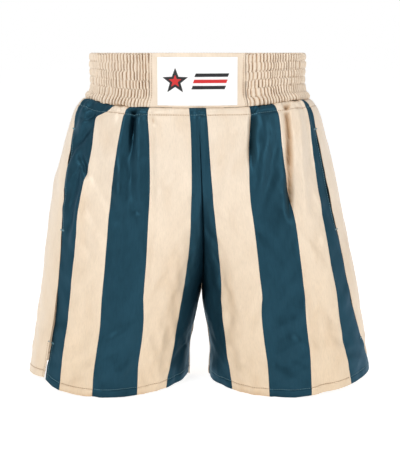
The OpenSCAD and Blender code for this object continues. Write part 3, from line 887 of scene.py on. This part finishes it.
LINING_IN = CLOTH + ELASTIC
TOP_FOLD = 0.0008  # the band's cloth turns in this far below its top edge
CHANNEL_H = (TOP_Z - SEAM_Z) / CHANNELS
TUCK = (0.0045, 0.0064)
cover_a = np.linspace(PANEL_A, 360 - PANEL_A, 901)
cover_s = band_arc(cover_a)[None, :]
tuck_size = mix(*TUCK, np.sin(np.radians(cover_a)) ** 2)[None, :]
cover_tucks = np.cumsum(np.diff(cover_s, axis=1, prepend=0) / tuck_size, axis=1)
cover_z = np.concatenate(
    [SEAM_Z + CHANNEL_H * (c + np.linspace(0, 1, 9)[:-1]) for c in range(CHANNELS)] + [[TOP_Z - TOP_FOLD]]
)[:, None]


def channel_at(place):
    """The channel that a height lies in, with a quick change over at each row of stitching."""
    whole = np.floor(place)
    return whole + ease((place - whole - 0.80) / 0.20)


def shirring(s, tucks, z):
    """How far the gathered satin puffs out between the rows of stitching."""
    place = (z - SEAM_Z) / CHANNEL_H
    f = place - np.floor(place + 1e-6)
    belly = np.sin(np.pi * clamp01(f)) ** 0.6
    channel = channel_at(place + 1e-6)
    shift = 0.42 * noise2(s / 0.030, channel * 1.7, 71) + 0.10 * noise2(s / 0.008, channel * 1.3, 72)
    phase = tucks + 0.5 * noise2(s / 0.03, 0 * z, 74) + shift
    ridge = np.abs(np.sin(np.pi * phase)) ** 0.75
    size = 0.9 + 0.35 * noise2(s / 0.007, channel * 1.9, 75)
    sag = 0.0007 * noise2(s / 0.024, place / 1.4, 77)
    lower = ease((0.5 - place) / 0.5)
    puff = mix(0.72, 1, belly) * 0.0033 * ridge * size * mix(1, 0.8, lower)
    puff = puff + 0.0006 * belly + sag * belly - 0.0001
    return puff, phase, place


cover_d, cover_phase, cover_place = shirring(cover_s, cover_tucks, cover_z)
scallop = 0.0009 * np.abs(np.sin(np.pi * (cover_tucks + 0.5 * noise2(cover_s / 0.03, 0, 74))))
droop = 0.0007 + 0.0009 * noise2(cover_s / 0.009, 0, 78)
droop = droop * ease((SEAM_Z + 0.004 - cover_z) / 0.004)
cover = band_surface(cover_a, cover_d, cover_z)
cover[..., 2] -= droop
top_rows = []
for depth, rise in ((0.0004, -0.0001), (-0.0006, 0.0), (-LINING_IN, -0.0001)):
    row = band_surface(cover_a[None, :], depth, TOP_Z + rise)
    row[..., 2] += scallop * 0.5
    top_rows.append(row)
cover_outer = np.concatenate([cover] + top_rows)
cover_in = band_surface(cover_a, cover_d - 0.0006, cover_z)
cover_in[..., 2] -= droop
top_in = [
    band_surface(cover_a[None, :], depth, TOP_Z - TOP_FOLD) for depth in (-0.0004, -0.0008, -LINING_IN)
]
cover_inner = np.concatenate([cover_in] + top_in)
cover_piece = add_sheet(
    "waistband_cover", "waistband_shirred_cover", cover_outer, cover_inner, 50, shirred_satin,
    flip=True,
)
top_phase = np.repeat(cover_phase[-1:], len(top_rows), axis=0)
grid_phase = np.concatenate([cover_phase, top_phase])
grid_place = np.concatenate([cover_place + 0 * cover_s, np.full(top_phase.shape, float(CHANNELS))])
in_grid = np.stack([grid_phase, grid_place, 0 * grid_phase], -1).reshape(-1, 3)
tucked = cover_piece.data.attributes.new("tuck", "FLOAT_VECTOR", "POINT")
tucked.data.foreach_set("vector", np.concatenate([in_grid, in_grid]).ravel())

panel_a = np.linspace(-PANEL_A, PANEL_A, 81)
panel_z = np.linspace(SEAM_Z, TOP_Z - TOP_FOLD, 45)[:, None]
panel_x = panel_a / PANEL_A
PANEL_STITCH_A = PANEL_A - 1.3
panel_wave = (
    0.00045 * noise2(panel_a / 5.0, panel_z / 0.02, 81)
    + 0.0005 * noise2(panel_a / 2.6, panel_z / 0.09, 82) * ease((np.abs(panel_x) - 0.80) / 0.12)
    - 0.0009 * hump(np.abs(panel_a), PANEL_STITCH_A, 0.32)
    - 0.0002 * hump(np.abs(panel_a), PANEL_A, 0.4)
    - 0.0008 * hump(panel_z, SEAM_Z, 0.0012)
)
panel = band_surface(panel_a, 0.0002 + panel_wave, panel_z)
panel_top = [
    band_surface(panel_a[None, :], depth, TOP_Z + rise)
    for depth, rise in ((0.0, -0.0002), (-0.0006, 0.0), (-LINING_IN, -0.0001))
]
panel_outer = np.concatenate([panel] + panel_top)
panel_in = band_surface(panel_a, -0.0006 + panel_wave, panel_z)
top_in = [
    band_surface(panel_a[None, :], depth, TOP_Z - TOP_FOLD) for depth in (-0.0006, -0.0008, -LINING_IN)
]
panel_inner = np.concatenate([panel_in] + top_in)
add_sheet(
    "waistband_panel", "waistband_front_panel", panel_outer, panel_inner, 51, cream_satin,
    flip=True,
)

lining_a = np.linspace(0, 360, 241)[:-1]
lining_z = np.linspace(SEAM_Z, TOP_Z - 0.0004, 25)[:, None]
lining_wave = 0.0003 * noise2(lining_a / 2.0, lining_z / 0.05, 83)
lining_wave = lining_wave * np.sin(np.pi * (lining_z - SEAM_Z) / (TOP_Z - SEAM_Z))
lining_outer = band_surface(lining_a, -LINING_IN - 0.00005, lining_z)
lining_inner = band_surface(lining_a, -LINING_IN - 0.0008 - lining_wave, lining_z)
add_sheet(
    "waistband_inside", "waistband_lining", lining_outer, lining_inner, 52, lining_cloth,
    ring=True, flip=True,
)

# Patch on the panel, and its plain emblem


def patch_point(x, z, d):
    """A point on the front panel, x to the side of the centre and d proud of the panel."""
    return band_surface(np.degrees(np.arcsin(x / band_x(z))), d, z)


patch_half = HALF_WAIST * math.sin(math.radians(PATCH_A))
patch_low, patch_high = SEAM_Z + PATCH_LOW, TOP_Z - PATCH_TOP
patch_x = np.linspace(-patch_half, patch_half, 61)[None, :]
patch_z = np.linspace(patch_low, patch_high, 37)[:, None]
rim = np.minimum(patch_half - np.abs(patch_x), np.minimum(patch_z - patch_low, patch_high - patch_z))
patch_d = 0.0011 - 0.0005 * hump(rim, 0, 0.0011) - 0.00025 * hump(rim, 0.0028, 0.0006)
patch_d = patch_d + 0.00025 * noise2(patch_x / 0.02, patch_z / 0.02, 84)
patch_outer = patch_point(patch_x, patch_z, patch_d)
patch_inner = patch_point(patch_x, patch_z, 0.0003)
add_sheet(
    "front_patch_twill", "front_patch", patch_outer, patch_inner, 53, patch_twill,
    flip=True,
)


def emblem(name, outline, material, lift):
    """A flat shape embroidered on the patch: rings that shrink from the outline to its middle."""
    middle_z = (patch_low + patch_high) / 2
    flat = np.array(outline)
    centre = flat.mean(axis=0)
    n = len(flat)
    rings = [1.0, 0.97, 0.7, 0.35, 0.02]
    heights = [0.0008, lift, lift + 0.0001, lift + 0.0001, lift + 0.0001]
    points = []
    for size, d in zip(rings, heights):
        ring = centre + (flat - centre) * size
        points.append(patch_point(ring[:, 0], middle_z + ring[:, 1], d))
    faces = [
        (r * n + i, r * n + (i + 1) % n, (r + 1) * n + (i + 1) % n, (r + 1) * n + i)
        for r in range(len(rings) - 1) for i in range(n)
    ]
    faces.append(tuple((len(rings) - 1) * n + i for i in range(n)))
    add_mesh(name, np.concatenate(points), faces, material, smooth=False)


def star(x, z, size):
    corners = []
    for i in range(10):
        r, angle = size * (1 if i % 2 == 0 else 0.42), math.radians(90 + 36 * i)
        corners.append((x + r * math.cos(angle), z + r * math.sin(angle)))
    corners = np.array(corners)
    return [tuple(mix(corners[i], corners[(i + 1) % 10], f)) for i in range(10) for f in (0, 0.5)]


def bar(x0, x1, z0, z1, lean=0.002):
    count = 10
    top = [(mix(x0, x1, i / count) + lean, z1) for i in range(count + 1)]
    return [(mix(x0, x1, i / count), z0) for i in range(count + 1)] + top[::-1]


EMBLEM_X = -0.031
BAR_FROM, BAR_TO, BAR_H, BAR_LEAN = -0.006, 0.041, 0.0048, 0.25
emblem("emblem_star", star(EMBLEM_X, 0.0, 0.0190), black_print, 0.0016)
emblem("emblem_star_core", star(EMBLEM_X, 0.0, 0.0095), red_print, 0.0019)
BARS = [(0.0062, black_print), (-0.0024, red_print), (-0.0110, black_print)]
for number, (low, ink) in enumerate(BARS, 1):
    shift = low * BAR_LEAN
    bar_outline = bar(BAR_FROM + shift, BAR_TO + shift, low, low + BAR_H)
    emblem(f"emblem_bar_{number}", bar_outline, ink, 0.0016)

# Care label, held by its top edge inside the centre back
label_lo, label_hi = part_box("care_label")
LABEL_A = 8.6
label_a = np.linspace(180 - LABEL_A, 180 + LABEL_A, 25)
label_z = np.linspace(label_hi[2], label_lo[2], 21)[:, None]
loose = ease((label_hi[2] - label_z) / (label_hi[2] - label_lo[2]))
label_d = -LINING_IN - 0.0012 - loose * (0.0022 + 0.0010 * noise2(label_a / 6.0, label_z / 0.02, 88))
label_outer = band_surface(label_a, label_d, label_z)
label_inner = band_surface(label_a, label_d - 0.0004, label_z)
add_sheet(
    "care_label_satin", "care_label", label_outer, label_inner, 54, label_satin,
)

# Topstitching of the band
band_stitches = []
for channel in range(1, CHANNELS):
    row_z = SEAM_Z + CHANNEL_H * channel
    row_d = shirring(cover_s[0], cover_tucks[0], row_z + 0 * cover_s[0])[0]
    row = band_surface(cover_a, row_d + 0.0001, row_z)
    band_stitches += stitches_along(row[::2], row[::2] - np.array([0, CENTRE_Y, row_z]), 0.0024, 0.0009)
thread("shirring_stitches", band_stitches, pale_thread, radius=0.00024)

panel_stitches = []
for edge in (-1, 1):
    line_z = np.linspace(SEAM_Z + 0.001, TOP_Z - 0.002, 30)
    line = band_surface(edge * PANEL_STITCH_A, -0.0004, line_z)
    panel_stitches += stitches_along(line, line * np.array([0.4, 1, 0]))
thread("panel_stitches", panel_stitches, cream_thread, radius=0.00024)

patch_stitches = []
inset = 0.0030
corners = [
    (-patch_half + inset, patch_low + inset), (patch_half - inset, patch_low + inset),
    (patch_half - inset, patch_high - inset), (-patch_half + inset, patch_high - inset),
]
for (x0, z0), (x1, z1) in zip(corners, corners[1:] + corners[:1]):
    f = np.linspace(0, 1, 40)
    line = patch_point(mix(x0, x1, f), mix(z0, z1, f), 0.0009)
    patch_stitches += stitches_along(line, line * np.array([0.4, 1, 0]))
thread("patch_stitches", patch_stitches, white_thread, radius=0.00022)

# The elastic behind the shirring and the interfacing behind the panel, between cover and lining
BEHIND, BEFORE_LINING = -0.0016, -LINING_IN + 0.0001
for node, low_a, high_a, cols, material, slot in (
    ("waist_elastic", PANEL_A, 360 - PANEL_A, 240, elastic_knit, "elastic"),
    ("front_panel_interfacing", 0.5 - PANEL_A, PANEL_A - 0.5, 41, fusible, "interfacing"),
):
    around = np.linspace(low_a, high_a, cols)[None, :]
    height = np.linspace(SEAM_Z + 0.002, TOP_Z - 0.002, 15)[:, None]
    outside = band_surface(around, BEHIND, height)
    inside = band_surface(around, BEFORE_LINING, height)
    add_sheet(
        f"{node}_layer", node, outside, inside, 54, material,
        flip=True,
    )

# Camera, lights and floor

THROW, TILT = 1.6, 9.31
camera_data = bpy.data.cameras.new("camera")
camera_data.lens = 84.0
camera_data.sensor_width = 36.0
camera = bpy.data.objects.new("camera", camera_data)
camera.location = (0.0036, -THROW, TOP_Z)
camera.rotation_euler = (math.radians(90 - TILT), 0, 0)
bpy.context.scene.collection.objects.link(camera)
bpy.context.scene.camera = camera


def area_light(name, place, target, size, power, colour=(1, 1, 1)):
    data = bpy.data.lights.new(name, "AREA")
    data.shape, data.size, data.size_y = "RECTANGLE", size[0], size[1]
    data.energy, data.color = power, colour
    lamp = bpy.data.objects.new(name, data)
    bpy.context.scene.collection.objects.link(lamp)
    lamp.location = place
    aim = np.array(target) - np.array(place)
    tilt = math.atan2(math.hypot(aim[0], aim[1]), -aim[2])
    lamp.rotation_euler = (tilt, 0, math.atan2(aim[0], -aim[1]) + math.pi)


area_light("key", (-1.35, -2.0, 1.6), (0, 0, 0.30), (0.8, 1.1), 33, (1, 0.99, 0.975))
area_light("fill", (2.0, -1.4, 1.1), (0, 0, 0.30), (0.9, 1.3), 21, (1, 0.98, 0.95))
area_light("top", (-0.2, -0.3, 2.2), (0, 0, 0.4), (1.0, 1.0), 11)

world = bpy.data.worlds.new("studio")
bpy.context.scene.world = world
world.use_nodes = True
tree = world.node_tree
sky = tree.nodes["Background"]
direction = tree.nodes.new("ShaderNodeTexCoord")
parts = tree.nodes.new("ShaderNodeSeparateXYZ")
tree.links.new(direction.outputs["Generated"], parts.inputs["Vector"])
strength = tree.nodes.new("ShaderNodeMath")
strength.operation = "MULTIPLY"
for socket, (axis, (low, high), (dim, bright)) in enumerate(
    [("Y", (-0.5, 0.4), (0.13, 1.0)), ("Z", (0.34, 0.06), (0.50, 1.0))]
):
    glow = tree.nodes.new("ShaderNodeMapRange")
    set_inputs(glow, From_Min=low, From_Max=high, To_Min=dim, To_Max=bright)
    tree.links.new(parts.outputs[axis], glow.inputs["Value"])
    tree.links.new(glow.outputs["Result"], strength.inputs[socket])
tree.links.new(strength.outputs["Value"], sky.inputs["Strength"])
set_inputs(sky, Color=(1, 1, 1, 1))

floor_mesh = bpy.data.meshes.new("floor")
FLOOR, FLOOR_Z = 30, -0.0015
floor_mesh.from_pydata(
    [(x * FLOOR, y * FLOOR, FLOOR_Z) for x, y in ((-1, -1), (1, -1), (1, 1), (-1, 1))],
    [], [(0, 1, 2, 3)],
)
floor = bpy.data.objects.new("floor", floor_mesh)
bpy.context.scene.collection.objects.link(floor)
paper, _, paper_bsdf = nodes_of("pale_floor")
set_inputs(
    paper_bsdf, Base_Color=(0.5, 0.5, 0.5, 1), Roughness=0.9, Specular_IOR_Level=0.0,
    Emission_Color=(1, 1, 1, 1), Emission_Strength=0.85,
)
floor_mesh.materials.append(paper)
bpy.context.scene.view_settings.view_transform = "Standard"
